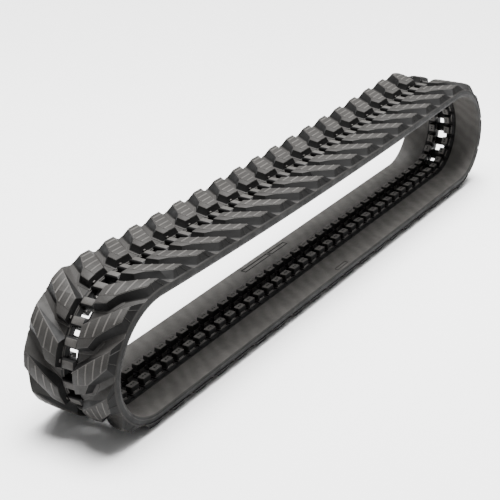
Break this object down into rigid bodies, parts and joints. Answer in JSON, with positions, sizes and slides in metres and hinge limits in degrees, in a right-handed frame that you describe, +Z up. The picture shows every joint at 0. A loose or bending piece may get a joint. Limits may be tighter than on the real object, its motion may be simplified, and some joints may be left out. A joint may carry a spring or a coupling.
{
  "type": "rubber track",
  "caption": "Endless rubber crawler track with staggered chevron lugs, steel cores with paired guide horns and central sprocket windows, standing as a free loop.",
  "frame": {"origin": "on the ground under the middle of the loop", "axes": "+X along the track, +Y across the belt to its left side, +Z up"},
  "size_m": [2.2484, 0.3, 0.4164],
  "materials": {
    "rubber": "matt moulded rubber, dark warm grey",
    "core_steel": "forged steel, dull"
  },
  "bodies": {
    "bottom_run": {"bottom_run_rubber_left": "rubber", "bottom_run_rubber_right": "rubber", "bottom_run_core_set_1": "core_steel", "bottom_run_core_set_2": "core_steel", "bottom_run_core_set_3": "core_steel", "bottom_run_core_set_4": "core_steel", "bottom_run_core_set_5": "core_steel", "bottom_run_core_set_6": "core_steel", "bottom_run_core_set_7": "core_steel"},
    "rear_bend_lower": {"rear_bend_lower_rubber_left": "rubber", "rear_bend_lower_rubber_right": "rubber", "rear_bend_lower_core_1": "core_steel", "rear_bend_lower_core_2": "core_steel", "rear_bend_lower_core_3": "core_steel"},
    "rear_bend_middle": {"rear_bend_middle_rubber_left": "rubber", "rear_bend_middle_rubber_right": "rubber", "rear_bend_middle_core_1": "core_steel", "rear_bend_middle_core_2": "core_steel", "rear_bend_middle_core_3": "core_steel", "rear_bend_middle_core_4": "core_steel"},
    "rear_bend_upper": {"rear_bend_upper_rubber_left": "rubber", "rear_bend_upper_rubber_right": "rubber", "rear_bend_upper_core_1": "core_steel", "rear_bend_upper_core_2": "core_steel", "rear_bend_upper_core_3": "core_steel"},
    "front_bend_lower": {"front_bend_lower_rubber_left": "rubber", "front_bend_lower_rubber_right": "rubber", "front_bend_lower_core_1": "core_steel", "front_bend_lower_core_2": "core_steel", "front_bend_lower_core_3": "core_steel"},
    "front_bend_middle": {"front_bend_middle_rubber_left": "rubber", "front_bend_middle_rubber_right": "rubber", "front_bend_middle_core_1": "core_steel", "front_bend_middle_core_2": "core_steel", "front_bend_middle_core_3": "core_steel", "front_bend_middle_core_4": "core_steel"},
    "front_bend_upper": {"front_bend_upper_rubber_left": "rubber", "front_bend_upper_rubber_right": "rubber", "front_bend_upper_core_1": "core_steel", "front_bend_upper_core_2": "core_steel", "front_bend_upper_core_3": "core_steel"},
    "top_run_rear": {"top_run_rear_rubber_left": "rubber", "top_run_rear_rubber_right": "rubber", "top_run_rear_core_set_1": "core_steel", "top_run_rear_core_set_2": "core_steel", "top_run_rear_core_set_3": "core_steel", "top_run_rear_core_set_4": "core_steel"},
    "top_run_front": {"top_run_front_rubber_left": "rubber", "top_run_front_rubber_right": "rubber", "top_run_front_core_set_1": "core_steel", "top_run_front_core_set_2": "core_steel", "top_run_front_core_set_3": "core_steel", "top_run_front_core_set_4": "core_steel"}
  },
  "joints": [
    {"name": "rear_lower_shoulder", "type": "hinge", "parent": "bottom_run", "child": "rear_bend_lower", "pos_m": [-0.91875, 0, 0.038], "axis": [0, -1, 0], "range_deg": [-8, 10], "stiffness_Nm_per_rad": 1500, "springref_deg": -5.78},
    {"name": "rear_lower_nose", "type": "hinge", "parent": "rear_bend_lower", "child": "rear_bend_middle", "pos_m": [-1.05561, 0, 0.10217], "axis": [0, 1, 0], "range_deg": [-7.42, 9.27]},
    {"name": "rear_upper_nose", "type": "hinge", "parent": "rear_bend_middle", "child": "rear_bend_upper", "pos_m": [-1.05028, 0, 0.29751], "axis": [0, 1, 0], "range_deg": [-8.61, 10.75]},
    {"name": "rear_upper_shoulder", "type": "hinge", "parent": "rear_bend_upper", "child": "top_run_rear", "pos_m": [-0.91847, 0, 0.37622], "axis": [0, -1, 0], "range_deg": [-8, 10]},
    {"name": "front_lower_shoulder", "type": "hinge", "parent": "bottom_run", "child": "front_bend_lower", "pos_m": [0.91875, 0, 0.038], "axis": [0, 1, 0], "range_deg": [-8, 10]},
    {"name": "front_lower_nose", "type": "hinge", "parent": "front_bend_lower", "child": "front_bend_middle", "pos_m": [1.05561, 0, 0.10217], "axis": [0, -1, 0], "range_deg": [-7.42, 9.27]},
    {"name": "front_upper_nose", "type": "hinge", "parent": "front_bend_middle", "child": "front_bend_upper", "pos_m": [1.05028, 0, 0.29751], "axis": [0, -1, 0], "range_deg": [-8.61, 10.75]},
    {"name": "front_upper_shoulder", "type": "hinge", "parent": "front_bend_upper", "child": "top_run_front", "pos_m": [0.91847, 0, 0.37622], "axis": [0, 1, 0], "range_deg": [-8, 10]}
  ],
  "couplings": [
    {"joint": "rear_lower_nose", "follows": "rear_lower_shoulder", "ratio": 0.9256},
    {"joint": "rear_upper_nose", "follows": "rear_lower_shoulder", "ratio": 1.0744},
    {"joint": "rear_upper_shoulder", "follows": "rear_lower_shoulder", "ratio": 1},
    {"joint": "front_lower_shoulder", "follows": "rear_lower_shoulder", "ratio": 1},
    {"joint": "front_lower_nose", "follows": "rear_lower_shoulder", "ratio": 0.9256},
    {"joint": "front_upper_nose", "follows": "rear_lower_shoulder", "ratio": 1.0744},
    {"joint": "front_upper_shoulder", "follows": "rear_lower_shoulder", "ratio": 1}
  ]
}
